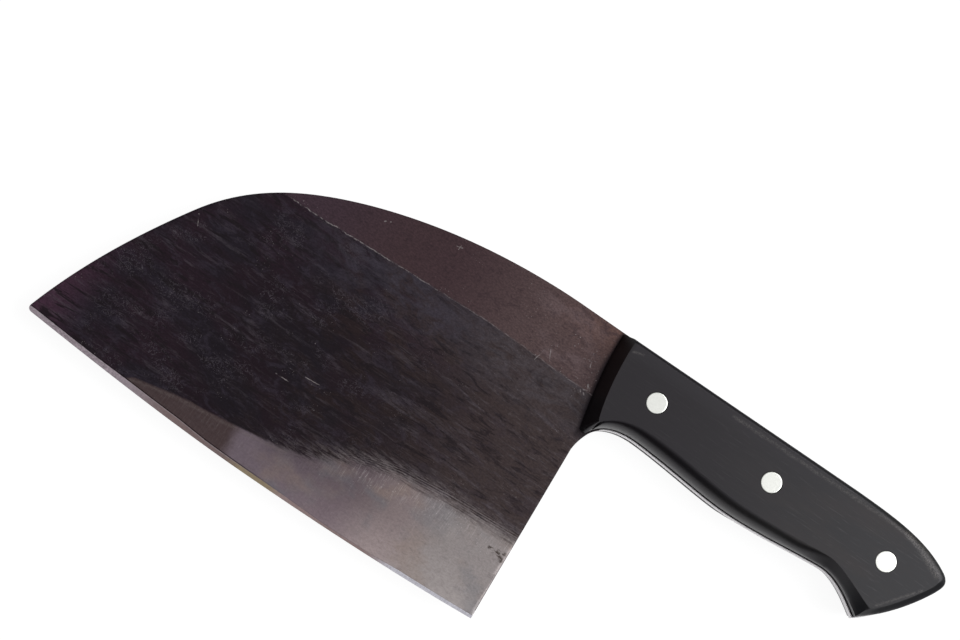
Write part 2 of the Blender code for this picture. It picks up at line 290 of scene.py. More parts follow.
# The sheet is doubled, and each half is moved out to its own side of the plate.
far_side = bmesh.ops.extrude_face_region(bm, geom=bm.faces[:])["geom"]
lifted = {item for item in far_side if isinstance(item, bmesh.types.BMVert)}
for vert in bm.verts:
    along, row = vert.co.x, vert.co.y
    edge, bevel, ridge = row_heights(along)
    side = 1 if vert in lifted else -1
    if row < BEVEL_ROW:
        up = edge + (bevel - edge) * row / BEVEL_ROW
        half = EDGE_HALF + (BEVEL_HALF - EDGE_HALF) * max(0, row) / BEVEL_ROW
    else:
        share = (row - BEVEL_ROW) / (RIDGE_ROW - BEVEL_ROW)
        up = bevel + (ridge - bevel) * share
        half = BEVEL_HALF + (HALF_PLATE - BEVEL_HALF) * min(1, share)
    neck = smooth_step(HEEL - 4, HEEL + 1, along) * smooth_step(*NECK, up)
    half += (HALF_PLATE - half) * neck
    bare = line_height(BARE_LINE, along) - up
    skin = smooth_step(0.5, -1.0, bare) * smooth_step(bevel, bevel + 4, up)
    skin *= smooth_step(HANDLE_FRONT, HANDLE_FRONT - 4, along)
    place = Vector((along, up, 40 * side))
    swell = noise.fractal(Vector((place.x / 26, place.y / 9, place.z)), 0.9, 2.0, 3)
    hollow = noise.fractal(place / 3.1, 0.8, 2.0, 2)
    half += skin * (SKIN_SWELL * swell + SKIN_PITS * hollow)
    half += skin * RIDGE_ROLL * smooth_step(0.3, 0, abs(row - RIDGE_ROW))
    half -= BARE_SINK * smooth_step(-0.3, 1.8, bare) * smooth_step(bevel, bevel + 2, up)
    fall = vert[drop] * smooth_step(0.8, 3.0, up - edge)
    vert.co = (along, up, side * (half - min(fall, 0.6 * half)))
    vert[above_bevel] = up - bevel
    vert[above_ridge] = up - ridge
    vert[into_bare] = bare
    vert[to_handle] = line_height(HANDLE_LINE, up) - along
bmesh.ops.recalc_face_normals(bm, faces=bm.faces)
# The narrow sides of the tang, with their broken edges, take the bright finish.
for face in bm.faces:
    face.smooth = True
    along, flat = face.calc_center_median().x, abs(face.normal.z)
    if along > HANDLE_FRONT and (flat < 0.4 or (flat < 0.98 and along > HEEL)):
        face.material_index = 1
plate_mesh = drawn_mesh("forged_plate", bm)
plate_mesh.set_sharp_from_angle(angle=radians(40))
fit_piece("forged_plate", plate_mesh, "forged_steel", "blade")


def tint(red, green, blue):
    """A colour as it shows on a screen, for a shader."""
    parts = [c / 255 for c in (red, green, blue)]
    parts = [c / 12.92 if c < 0.04045 else ((c + 0.055) / 1.055) ** 2.4 for c in parts]
    return (*parts, 1)


def add_node(tree, kind, inputs=(), **settings):
    """A shader node, with a link or a plain value at each of the inputs named."""
    made = tree.nodes.new(kind)
    for key, value in settings.items():
        setattr(made, key, value)
    for key, value in dict(inputs).items():
        if isinstance(value, bpy.types.NodeSocket):
            tree.links.new(value, made.inputs[key])
        else:
            made.inputs[key].default_value = value
    return made


class Finish:
    """A material under construction: its nodes are added one by one."""

    def __init__(self, name):
        self.material = bpy.data.materials.new(name)
        self.material.use_nodes = True
        self.tree = self.material.node_tree
        self.shader = self.tree.nodes["Principled BSDF"]
        coordinates = self.node("ShaderNodeTexCoord").outputs["Object"]
        self.place = self.vector("MULTIPLY_ADD", coordinates, (1 / MM,) * 3,
                                 tuple(-DRAWN_FROM / MM))

    def node(self, kind, inputs=(), **settings):
        return add_node(self.tree, kind, inputs, **settings)

    def math(self, operation, *values, clamp=False):
        made = self.node("ShaderNodeMath", enumerate(values), operation=operation)
        made.use_clamp = clamp
        return made.outputs[0]

    def vector(self, operation, *values):
        return self.node("ShaderNodeVectorMath", enumerate(values), operation=operation).outputs[0]

    def measure(self, operation, *values):
        """A vector sum whose answer is one number."""
        made = self.node("ShaderNodeVectorMath", enumerate(values), operation=operation)
        return made.outputs["Value"]

    def scaled(self, vector, share):
        inputs = {0: vector, "Scale": share}
        return self.node("ShaderNodeVectorMath", inputs, operation="SCALE").outputs[0]

    def attribute(self, name):
        return self.node("ShaderNodeAttribute", attribute_name=name).outputs["Fac"]

    def part_of(self, vector, axis):
        return self.node("ShaderNodeSeparateXYZ", {0: vector}).outputs[axis]

    def step(self, value, low, high, start=0.0, end=1.0):
        """A smooth rise from start to end as the value goes from low to high."""
        return self.node("ShaderNodeMapRange", {0: value, 1: low, 2: high, 3: start, 4: end},
                         interpolation_type="SMOOTHSTEP").outputs[0]

    def line(self, value, level, outer, inner):
        """A thin line where the value passes a level."""
        away = self.math("ABSOLUTE", self.math("SUBTRACT", value, level))
        return self.step(away, outer, inner)

    def spaced(self, size, shift):
        return self.vector("MULTIPLY_ADD", self.place, tuple(1 / s for s in size), (shift,) * 3)

    def noise(self, size, detail=4.0, rough=0.55, shift=0.0, twist=0.0):
        """Noise whose grains are about this long along X, Y and Z, in millimetres."""
        inputs = {"Vector": self.spaced(size, shift), "Scale": 1.0, "Detail": detail,
                  "Roughness": rough, "Distortion": twist}
        return self.node("ShaderNodeTexNoise", inputs).outputs["Fac"]

    def noise_colour(self, size):
        inputs = {"Vector": self.spaced(size, 0.0), "Scale": 1.0, "Detail": 2.0}
        return self.node("ShaderNodeTexNoise", inputs).outputs["Color"]

    def both(self, *values):
        """The values multiplied together."""
        product = values[0]
        for value in values[1:]:
            product = self.math("MULTIPLY", product, value)
        return product

    def flecks(self, size, share, shift=0.0):
        """Small scattered spots of uneven strength: this share of the cells has one."""
        inputs = {"Vector": self.spaced(size, shift), "Scale": 1.0}
        cells = self.node("ShaderNodeTexVoronoi", inputs)
        spot = self.step(cells.outputs["Distance"], 0.3, 0.08)
        parts = self.node("ShaderNodeSeparateColor", {0: cells.outputs["Color"]}).outputs
        return self.both(spot, self.math("LESS_THAN", parts[0], share), parts[1])

    def stroke(self, start, end, width, near, soft=0.7):
        """A straight mark between two points, on the side of the knife where near is 1."""
        run = Vector(end) - Vector(start)
        away = self.vector("SUBTRACT", self.shaken, (*start, 0))
        share = self.math("MULTIPLY", self.measure("DOT_PRODUCT", away, (*run, 0)),
                          1 / max(run.length_squared, 0.01), clamp=True)
        across = self.vector("SUBTRACT", away, self.scaled((*run, 0), share))
        mark = self.step(self.measure("LENGTH", across), width, (1 - soft) * width)
        return self.math("MULTIPLY", mark, near)

    def strokes(self, marks, near, soft=0.7):
        """Several such marks together."""
        drawn = 0.0
        for start, end, width in marks:
            drawn = self.math("MAXIMUM", self.stroke(start, end, width, near, soft), drawn)
        return drawn

    def shake(self, size, reach):
        """Places on the side of the knife, shifted a little at random, for marks that waver."""
        centre = -reach / 2
        shift = self.vector("MULTIPLY_ADD", self.noise_colour((size,) * 3), (reach, reach, 0),
                            (centre, centre, 0))
        self.shaken = self.vector("MULTIPLY_ADD", self.place, (1, 1, 0), shift)

    def mix(self, share, first, second, blend="MIX"):
        made = self.node("ShaderNodeMix", {0: share, 6: first, 7: second}, data_type="RGBA",
                         blend_type=blend)
        return made.outputs[2]

    def bands(self, value, colour, changes):
        """A colour that turns into the next one between each two levels of the value."""
        for low, high, following in changes:
            colour = self.mix(self.step(value, low, high), colour, tint(*following))
        return colour

    def blend(self, share, first, second):
        return self.node("ShaderNodeMix", {0: share, 2: first, 3: second}).outputs[0]

    def bump(self, height, depth):
        """Relief of a depth in millimetres, for a height of 0 to 1."""
        inputs = {"Height": height, "Distance": depth * MM, "Strength": 1.0}
        return self.node("ShaderNodeBump", inputs).outputs["Normal"]

    def set(self, **sockets):
        for key, value in sockets.items():
            socket = self.shader.inputs[key.replace("_", " ")]
            if isinstance(value, bpy.types.NodeSocket):
                self.tree.links.new(value, socket)
            else:
                socket.default_value = value


forged = Finish("forge_scale_and_bare_steel")
along, up, depth = [forged.part_of(forged.place, axis) for axis in "XYZ"]
ridge = forged.attribute("above_ridge")
bare_depth = forged.attribute("into_bare")
near = forged.step(depth, -0.5, 0.5)

# Forge scale: a purple-black skin in soft blotches, hazy below the ridge, with broad pale streaks,
# short dark ones and thin curls. Above the ridge it is brown, and rusty at the spine.
clouds = forged.noise((24, 13, 20), 3, 0.5, shift=7)
earthy = forged.noise((15, 7, 12), 3, 0.55, shift=61)
smudge = forged.noise((8, 4.5, 6), 6, 0.66, shift=1, twist=1.0)
grit = forged.noise((0.9, 0.6, 0.8), 3, 0.7, shift=2)
streak = forged.noise((24, 3.6, 6), 6, 0.66, shift=3, twist=0.7)
fine = forged.noise((9, 1.1, 3), 6, 0.75, shift=71, twist=0.5)
scar = forged.noise((10, 2.2, 5), 6, 0.7, shift=13, twist=0.7)
curl = forged.noise((3.2, 2.4, 3), 4, 0.7, shift=31, twist=1.0)
toward_heel = forged.step(along, 82, 176)
skin = forged.mix(forged.step(clouds, 0.40, 0.60), tint(38, 23, 33), tint(31, 26, 35))
brown = forged.both(forged.step(earthy, 0.44, 0.60), forged.step(along, 60, 100))
skin = forged.mix(brown, skin, tint(46, 33, 32))
skin = forged.mix(toward_heel, skin, tint(70, 59, 57))
low = forged.both(forged.step(up, 72, 54), forged.step(along, 34, 66), forged.step(along, 150, 122))
skin = forged.mix(low, skin, (0.60, 0.58, 0.58, 1), blend="MULTIPLY")
smudged = forged.both(forged.step(smudge, 0.49, 0.64), forged.blend(toward_heel, 0.42, 0.25))
skin = forged.mix(smudged, skin, tint(60, 54, 66))
skin = forged.mix(forged.step(along, 20, 1), skin, tint(74, 48, 65))
pale = forged.both(forged.step(streak, 0.55, 0.68), forged.blend(toward_heel, 0.33, 0.48))
skin = forged.mix(pale, skin, tint(94, 87, 94))
paler = forged.both(forged.step(fine, 0.52, 0.68), forged.blend(toward_heel, 0.15, 0.54))
skin = forged.mix(paler, skin, tint(102, 95, 99))
dark = forged.both(forged.step(scar, 0.50, 0.62), forged.blend(toward_heel, 0.85, 0.68))
skin = forged.mix(dark, skin, tint(21, 15, 18))
patchy = forged.step(forged.noise((15, 10, 9), 3, 0.6, shift=33), 0.50, 0.62)
curls = forged.both(forged.line(curl, 0.5, 0.012, 0.003), patchy, forged.step(along, 150, 90), 0.6)
skin = forged.mix(curls, skin, tint(112, 106, 114))
haze = forged.both(forged.step(ridge, -22, -5), forged.step(along, 50, 92),
                   forged.step(smudge, 0.30, 0.60), 0.62)
haze_colour = forged.mix(forged.step(along, 112, 146), tint(69, 65, 75), tint(90, 84, 88))
skin = forged.mix(haze, skin, haze_colour)

rusty = forged.noise((4, 2.6, 4), 5, 0.68, shift=41, twist=0.8)
warm = forged.bands(along, tint(70, 53, 62), ((56, 96, (73, 54, 57)), (104, 150, (96, 78, 77))))
warm = forged.mix(forged.both(forged.step(rusty, 0.52, 0.68), 0.45), warm, tint(52, 38, 42))
cloudy = forged.both(forged.step(earthy, 0.46, 0.60), forged.step(along, 132, 150),
                     forged.step(along, 170, 158), 0.5)
warm = forged.mix(cloudy, warm, tint(124, 106, 108))
rust = forged.both(forged.step(along, 138, 172), forged.step(up, 94, 110), 0.45)
rust_colour = forged.mix(forged.step(rusty, 0.42, 0.62), tint(130, 94, 80), tint(84, 60, 56))
warm = forged.mix(rust, warm, rust_colour)
skin = forged.mix(forged.step(ridge, -0.5, 0.6), skin, warm)
# Painted shadow: the skin is darkened next to the front of the scales, where the handle shades the
# blade.
handle_shadow = forged.both(forged.step(forged.attribute("to_handle"), 1.7, -0.3), forged.step(up, 71, 76))
skin = forged.mix(forged.both(handle_shadow, 0.9), skin, tint(12, 8, 12))

# Bare steel at the heel, ground across the edge: brown, then lilac, then a paler grey. Its upper
# border is crisp and light-rimmed at first, and further back it is misty, with hairlines along it.
ragged = forged.math("MULTIPLY_ADD", forged.noise((8, 0.9, 5), 7, 0.78, shift=11), 9.0, -4.5)
feather = forged.step(along, 84, 116)
ragged = forged.math("MULTIPLY", ragged, forged.blend(feather, 0.15, 1.0))
border = forged.math("ADD", bare_depth, ragged)
bare = forged.step(border, forged.blend(feather, -0.5, -2.6), forged.blend(feather, 0.5, 2.4))
mist = forged.both(forged.step(border, -8, 0), feather,
                   forged.step(forged.noise((5, 0.7, 4), 6, 0.75, shift=12), 0.42, 0.66), 0.8)
skin = forged.mix(mist, skin, tint(140, 131, 132))
wave = forged.math("SINE", forged.math("MULTIPLY", bare_depth, 2 * pi / 0.75))
fringe = forged.both(forged.step(wave, 0.1, 0.9), forged.step(along, 104, 140),
                     forged.step(bare_depth, -4.5, -2.5), forged.step(bare_depth, 0.8, -0.4),
                     forged.step(forged.noise((9, 0.8, 4), 4, 0.7, shift=14), 0.35, 0.6))

grind = forged.noise((0.4, 5, 4), 5, 0.72, shift=5)
scuff = forged.noise((2.2, 1.1, 2), 6, 0.75, shift=16, twist=0.6)
mottle = forged.noise((13, 11, 9), 4, 0.55, shift=9)
slant = forged.math("MULTIPLY_ADD", forged.noise((6, 6, 6), 3, 0.6, shift=10), 3.0,
                    forged.math("MULTIPLY_ADD", up, 0.10, along))
steel = forged.mix(forged.step(slant, 80.2, 85.8), tint(83, 69, 70), tint(124, 111, 120))
steel = forged.bands(along, steel, (
    (96, 118, (134, 119, 126)), (118, 140, (168, 153, 153)), (140, 158, (169, 161, 160)),
))
rise = forged.both(forged.step(forged.attribute("above_bevel"), 1, 17), forged.step(along, 84, 96),
                   forged.blend(forged.step(along, 126, 160), 1.0, 0.45))
steel = forged.mix(rise, steel, (0.62, 0.61, 0.62, 1), blend="MULTIPLY")
cool = forged.both(forged.step(mottle, 0.44, 0.62), forged.step(along, 86, 96), 0.4)
cool_colour = forged.mix(forged.step(clouds, 0.4, 0.6), tint(118, 120, 126), tint(150, 132, 122))
steel = forged.mix(cool, steel, cool_colour)
raked = forged.both(forged.step(bare_depth, 11, 2), forged.step(along, 105, 125))
ground = forged.both(forged.step(grind, 0.50, 0.72), forged.blend(raked, 0.08, 0.42))
steel = forged.mix(ground, steel, tint(205, 198, 198))
steel = forged.mix(forged.both(forged.step(scuff, 0.50, 0.70), 0.3), steel, tint(98, 88, 92))
glints = forged.both(forged.flecks((0.8, 0.8, 2), 0.4, shift=19), forged.step(bare_depth, 13, 5),
                     forged.step(along, 112, 126), 0.5)
steel = forged.mix(glints, steel, tint(214, 206, 206))
rim = forged.both(forged.line(border, 0.9, 0.9, 0.1), forged.step(along, 108, 92),
                  forged.step(scuff, 0.36, 0.58), 0.28)
steel = forged.mix(rim, steel, tint(124, 114, 112))
forged.shake(0.8, 1.3)
STAIN = (((171.6, 26.1), (177.2, 27.0), 1.0), ((174.6, 26.3), (177.4, 24.6), 1.2),
         ((173.4, 25.0), (176.0, 25.4), 0.8))
stain = forged.both(forged.strokes(STAIN, near, 0.9), forged.step(scuff, 0.42, 0.56), 0.85)
steel = forged.mix(stain, steel, tint(62, 52, 46))

# The edge's bevel: rosy grey at the tip, straw-coloured in the middle and bright at the heel. A
# pale lip and a dark line of painted shadow run along its top towards the tip.
bevel_top = forged.attribute("above_bevel")
bevel = forged.step(bevel_top, 0.06, -0.06)
honed = forged.bands(along, tint(188, 174, 183), (
    (38, 60, (152, 132, 131)), (80, 90, (180, 162, 134)), (98, 106, (186, 162, 161)),
    (138, 150, (246, 244, 255)),
))
honed = forged.mix(forged.both(forged.step(grind, 0.48, 0.7), 0.3), honed, tint(120, 110, 116))
lip = forged.both(forged.line(bevel_top, -0.12, 0.16, 0.05), forged.step(along, 96, 80), 0.5)
honed = forged.mix(lip, honed, tint(200, 190, 196))
# Painted shadow: a dark line just above the top of the bevel.
bevel_shadow = forged.both(forged.line(bevel_top, 0.2, 0.3, 0.1), forged.step(along, 104, 86), 0.7)

# Scratches, specks of broken skin, and the rubbed line along the ridge.
SCORES = (
    ((28.6, 62.6), (30.5, 58.9), 0.20), ((80.0, 33.4), (86.6, 33.5), 0.22),
    ((88.9, 37.9), (94.3, 38.4), 0.18), ((148.4, 86.2), (149.6, 91.5), 0.18),
    ((105.5, 103.0), (106.4, 103.2), 0.18), ((106.9, 103.3), (107.4, 103.6), 0.18),
    ((106.5, 102.3), (106.7, 103.9), 0.14),
    ((80.9, 95.9), (81.3, 96.3), 0.3), ((82.6, 96.9), (82.8, 97.0), 0.22),
    ((150.8, 93.0), (153.0, 88.6), 0.20), ((162.0, 96.2), (166.4, 97.8), 0.18),
    ((163.8, 99.4), (165.4, 94.9), 0.18), ((168.2, 89.7), (168.8, 88.7), 0.46),
    ((169.3, 89.0), (169.6, 88.1), 0.40), ((167.7, 87.5), (168.9, 87.9), 0.30),
    ((166.9, 86.9), (167.4, 86.3), 0.30), ((168.3, 86.6), (168.9, 86.0), 0.26),
)
forged.shake(1.2, 0.5)
broken = forged.step(forged.noise((2.6, 2.6, 3), 3, 0.6, shift=17), 0.36, 0.60)
scores = forged.both(forged.strokes(SCORES, near), broken, 0.7)
specks = forged.both(forged.flecks((0.62, 0.5, 2), 0.34),
                     forged.step(forged.noise((13, 8, 9), 4, 0.65, shift=21), 0.55, 0.66), 0.9)
chips = forged.both(forged.flecks((0.9, 0.7, 2), 0.6, shift=5), forged.step(along, 126, 146),
                    forged.step(forged.noise((6, 4, 4), 3, 0.6, shift=27), 0.46, 0.60),
                    forged.step(ridge, -3.5, 0.5), forged.step(up, 109, 103), near)
specks = forged.math("MAXIMUM", specks, chips)
wander = forged.math("MULTIPLY_ADD", forged.noise((4, 40, 40), 5, 0.72, shift=23), 1.6, -0.8)
crest = forged.both(
    forged.line(forged.math("ADD", ridge, wander), 0.0, 0.26, 0.06), forged.step(along, 47, 53),
    forged.blend(forged.step(along, 84, 122), 0.68, 0.3),
    forged.step(forged.noise((2.0, 9, 9), 5, 0.78, shift=25), 0.40, 0.60))
marks = forged.math("MAXIMUM", scores, forged.math("MAXIMUM", specks, crest))

colour = forged.mix(bare, skin, steel)
colour = forged.mix(forged.both(fringe, 0.5), colour, tint(166, 158, 158))
colour = forged.mix(bevel_shadow, colour, tint(24, 17, 20))
colour = forged.mix(bevel, colour, honed)
colour = forged.mix(marks, colour, tint(172, 164, 164))
grain = forged.mix(forged.step(grit, 0.25, 0.75), (0.70, 0.70, 0.70, 1), (1.30, 1.30, 1.30, 1))
colour = forged.mix(forged.blend(bare, 1.0, 0.35), colour, grain, blend="MULTIPLY")
metal = forged.both(bare, forged.math("SUBTRACT", 1.0, bevel))
metal = forged.math("MULTIPLY_ADD", bevel, 0.12, metal)
relief = forged.blend(bare, forged.blend(0.5, grit, scar), forged.blend(0.4, grind, scuff))
relief = forged.math("MULTIPLY_ADD", marks, -0.5, relief)
forged.set(Base_Color=colour, Metallic=metal, Roughness=forged.blend(metal, 0.52, 0.42),
           Normal=forged.bump(relief, 0.016), Specular_IOR_Level=0.2,
           Specular_Tint=(1.0, 0.84, 0.98, 1))
plate_mesh.materials.append(forged.material)

tang = Finish("ground_tang_edge")
tang.set(Base_Color=tint(255, 252, 255), Metallic=0.5, Roughness=0.42,
         Normal=tang.bump(tang.noise((6, 0.4, 0.4), 4, 0.6), 0.01))
plate_mesh.materials.append(tang.material)

# The two handle scales are milled from black pressed laminate, one on each side of the tang. They
# stand upright off the steel and round over to a flat face, with a plain bevel in front and
# round the hook of the butt, and are drilled for the rivets.
SEAT = 2.8
WALL_TOP = 4.0
FACE = 11.0
SCALE_FOOT = (
    ((171.3, 86.8), (173.9, 76.7), (174.1, 75.8)),
    ((175.3, 75.2), (176.60, 75.75), (178.10, 79.60)),
    ((182.80, 83.35), (192.50, 83.10), (204.50, 82.80)),
    ((218.50, 80.85), (227.80, 80.65), (241.40, 80.50)),
    ((253.7, 82.75), (266.4, 83.85), (273.4, 84.45)),
    ((280.0, 79.9), (285.5, 76.3), (292.75, 81.60)),
    ((299.30, 90.55), (303.00, 97.80), (304.60, 101.30)),
    ((305.30, 103.00), (301.20, 105.20), (290.4, 111.0)),
    ((277.20, 111.12), (262.0, 111.22), (231.0, 111.0)),
    ((200.0, 110.7), (172.0, 110.5), (170.8, 110.5)),
    ((169.70, 110.49), (168.55, 110.49), (168.45, 99.60)),
)
SCALE_FACE = (
    ((174.4, 88.9), (177.0, 81.6), (177.3, 80.7)),
    ((177.6, 80.5), (178.2, 81.2), (180.3, 83.6)),
    ((185.0, 86.9), (192.5, 87.1), (204.5, 87.6)),
    ((217.0, 85.6), (227.8, 84.95), (241.2, 84.6)),
    ((253.4, 86.40), (266.1, 87.40), (271.5, 87.85)),
    ((279.5, 83.5), (287.0, 80.9), (290.4, 81.9)),
    ((297.6, 92.6), (300.6, 97.9), (301.8, 100.2)),
    ((302.5, 101.9), (300.0, 102.8), (290.0, 107.3)),
    ((276.0, 109.3), (262.0, 109.6), (231.2, 109.4)),
    ((200.6, 109.25), (176.0, 109.2), (175.0, 109.2)),
    ((173.8, 109.2), (172.75, 109.2), (172.75, 101.5)),
)
RING_STEPS = 14
FRONT_LINE = (176.3, 75.7)  # a point of the slanting line behind the front bevel, and its slant
FRONT_SLANT = 0.195
FRONT_FOOT = 168.55  # the front corner at the spine, at the tang and at the face
FRONT_FACE = 172.75
SPINE_SIDE = 110.4  # above this a point of the foot lies on the spine's side
CORNER_SPREAD = 0.06
BACK_WALL = 9.2  # how high the scale stands upright along the spine and the butt
HOOK_RISE = 3.2  # how much higher the bevel of the hook starts than the round before it
BELLY_PROUD = 0.82  # how far the far scale stands proud of the tang behind the blade
HEAD_SEAT = 3.75
SEAT_DEPTH = 2.7


def spun(profile, centre, steps=96):
    """A profile of radius and height, turned about an upright line."""
    bm = bmesh.new()
    verts = [bm.verts.new((centre[0] + radius, centre[1], height)) for radius, height in profile]
    edges = [bm.edges.new(pair) for pair in zip(verts, verts[1:])]
    bmesh.ops.spin(bm, geom=verts + edges, cent=(*centre, 0), axis=(0, 0, 1), angle=2 * pi,
                   steps=steps, use_merge=True)
    bmesh.ops.remove_doubles(bm, verts=bm.verts, dist=0.002)
    bmesh.ops.recalc_face_normals(bm, faces=bm.faces)
    return bm


def crease(mesh, degrees):
    """Smooth shading that stops at sharp edges and all round the flat faces."""
    bm = bmesh.new()
    bm.from_mesh(mesh)
    for edge in bm.edges:
        level = [abs(face.normal.z) > 0.99999 for face in edge.link_faces]
        turn = edge.calc_face_angle(0)
        edge.smooth = turn < radians(degrees) and (all(level) or not any(level))
    for face in bm.faces:
        face.smooth = True
    bm.to_mesh(mesh)
    bm.free()


def drawn_in(foot, face, height):
    """Where a side has drawn in to: a plain bevel in front and round the hook, rounds elsewhere."""
    reach = 2.0 - 0.6 * smooth_step(100, 108, foot.y)
    past_front = foot.x - FRONT_LINE[0] + FRONT_SLANT * (foot.y - FRONT_LINE[1])
    front = smooth_step(reach, 0.3, past_front)
    behind = max(smooth_step(94, 104, foot.y), smooth_step(286.5, 291.5, foot.x))
    start = WALL_TOP + HOOK_RISE * smooth_step(242, 266, foot.x)
    start += (BACK_WALL - start) * behind
    rise = min(1, max(0, (height - start) / (FACE - start)))
    rounded = 1 - sqrt(1 - rise * rise)
    hook = smooth_step(254, 268, foot.x) * smooth_step(104.5, 101, foot.y)
    rounded += (rise - rounded) * hook
    bevelled = (height - SEAT) / (FACE - SEAT)
    share = (1 - front) * rounded + front * bevelled
    sideways = share + (rounded - share) * smooth_step(98, 106, foot.y)
    x = foot.x + share * (face.x - foot.x)
    if foot.y > SPINE_SIDE:
        corner = FRONT_FOOT + (FRONT_FACE - FRONT_FOOT) * bevelled
        x = max(x, corner + CORNER_SPREAD * (foot.x - FRONT_FOOT))
    return x, foot.y + sideways * (face.y - foot.y)


def make_scale(name, side, slot, node):
    """A scale: the outline raised in rings that draw in to its face, with the rivets' seats cut."""
    foot, face = sampled(SCALE_FOOT, 18), sampled(SCALE_FACE, 18)
    if side < 0:
        for point in foot:
            point.y -= BELLY_PROUD * smooth_step(87, 84, point.y) * smooth_step(246, 224, point.x)
    bm = bmesh.new()
    station = bm.verts.layers.int.new("station")
    verts = [bm.verts.new((*point, side * SEAT)) for point in foot]
    for index, vert in enumerate(verts):
        vert[station] = index
    ring = [bm.edges.new((verts[i - 1], verts[i])) for i in range(len(verts))]
    bmesh.ops.contextual_create(bm, geom=ring)
    for step in range(RING_STEPS + 1):
        height = WALL_TOP + (FACE - WALL_TOP) * sin(pi / 2 * step / RING_STEPS)
        raised = bmesh.ops.extrude_edge_only(bm, edges=ring)["geom"]
        ring = [item for item in raised if isinstance(item, bmesh.types.BMEdge)]
        for vert in {v for e in ring for v in e.verts}:
            index = vert[station]
            vert.co = (*drawn_in(foot[index], face[index], height), side * height)
    bmesh.ops.contextual_create(bm, geom=ring)
    bmesh.ops.recalc_face_normals(bm, faces=bm.faces)
    mesh = drawn_mesh(name, bm)
    blank = add_object(name, mesh)
    cutters = []
    for centre in RIVETS.values():
        top_of_seat, foot_of_seat = side * (FACE + 3), side * (FACE - SEAT_DEPTH)
        drill = spun([(0, top_of_seat), (HEAD_SEAT, top_of_seat), (HEAD_SEAT, foot_of_seat),
                      (TUBE_HOLE, foot_of_seat), (TUBE_HOLE, side * 1.0), (0, side * 1.0)], centre)
        cutter = add_object("drill", drawn_mesh("drill", drill))
        hole = blank.modifiers.new("Rivet hole", "BOOLEAN")
        hole.object = cutter
        hole.solver = "EXACT"
        cutters.append(cutter)
    cut = finished_mesh(blank)
    for spare in [blank, *cutters]:
        bpy.data.objects.remove(spare)
    cut.name = name
    crease(cut, 35)
    return fit_piece(name, cut, slot, node)


# The laminate is black in front and greyer towards the butt, with fibres along it. It is rubbed
# pale along the spine and round the butt, with a painted highlight on those rounded edges, and the
# hook's sides and the front bevel near the spine are darkened with painted shade.
laminate = Finish("black_laminate")
along, up, depth = [laminate.part_of(laminate.place, axis) for axis in "XYZ"]
grain = laminate.noise((9, 0.35, 0.8), 5, 0.7)
tone = laminate.noise((40, 8, 8), 3, 0.55, shift=4)
pore = laminate.noise((0.45, 0.32, 0.4), 3, 0.7, shift=6)
rear = laminate.step(along, 185, 300)
body = laminate.mix(rear, tint(13, 8, 13), tint(40, 42, 42))
warmer = laminate.both(laminate.step(tone, 0.45, 0.65), rear, 0.6)
body = laminate.mix(warmer, body, tint(50, 45, 42))
fibres = laminate.both(laminate.step(grain, 0.56, 0.74), laminate.blend(rear, 0.15, 0.6))
body = laminate.mix(fibres, body, tint(92, 92, 92))
laminate.shake(2.0, 1.0)
top = laminate.step(laminate.math("ABSOLUTE", depth), 8.0, 10.4)
# Rubbed wear and painted highlight: pale strokes along the rounded edges at the spine, round the
# butt and at the front.
WEAR_AND_SHEEN = (
    ((214, 107.9), (282, 108.7), 1.0, 0.35), ((262, 108.6), (284, 108.6), 1.0, 0.35),
    ((284, 108.6), (291.0, 107.1), 1.6, 0.75), ((291.0, 107.1), (299.8, 103.0), 2.2, 0.75),
    ((288.6, 82.9), (298.6, 95.6), 0.8, 0.4), ((173.6, 106.6), (177.4, 107.6), 0.7, 0.35),
)
spine_side = laminate.both(laminate.step(up, 103, 108.5), laminate.step(along, 262, 236), top, 0.5)
body = laminate.mix(spine_side, body, tint(38, 36, 40))
wear_and_sheen = 0.0
for start, end, width, strength in WEAR_AND_SHEEN:
    wear_and_sheen_stroke = laminate.both(laminate.stroke(start, end, width, top, 0.9), strength)
    wear_and_sheen = laminate.math("MAXIMUM", wear_and_sheen_stroke, wear_and_sheen)
wear_and_sheen = laminate.both(wear_and_sheen, laminate.step(pore, 0.38, 0.66))
body = laminate.mix(wear_and_sheen, body, tint(132, 128, 124))
# Painted shade: the front bevel near the spine is darkened almost to black.
corner = laminate.both(laminate.step(along, 174.2, 173.2), laminate.step(up, 104, 107))
body = laminate.mix(corner, body, (0.15, 0.15, 0.15, 1), blend="MULTIPLY")
# Painted shade: the hook's sides below the face are darkened.
hook_shade = laminate.both(laminate.step(laminate.math("ABSOLUTE", depth), 10.98, 10.7),
                         laminate.step(along, 244, 264), laminate.step(up, 104, 101))
body = laminate.mix(hook_shade, body, (0.35, 0.35, 0.42, 1), blend="MULTIPLY")
laminate.set(Base_Color=body, Roughness=laminate.step(grain, 0.3, 0.7, 0.42, 0.36),
             Normal=laminate.bump(laminate.blend(0.4, grain, pore), 0.008),
             Specular_IOR_Level=0.42, Specular_Tint=(0.97, 0.93, 1.0, 1))
for side, label in ((1, "upper"), (-1, "lower")):
    scale = make_scale(f"handle_scale_{label}", side, "handle_scale", f"scale_{label}")
    scale.data.materials.clear()
    scale.data.materials.append(laminate.material)

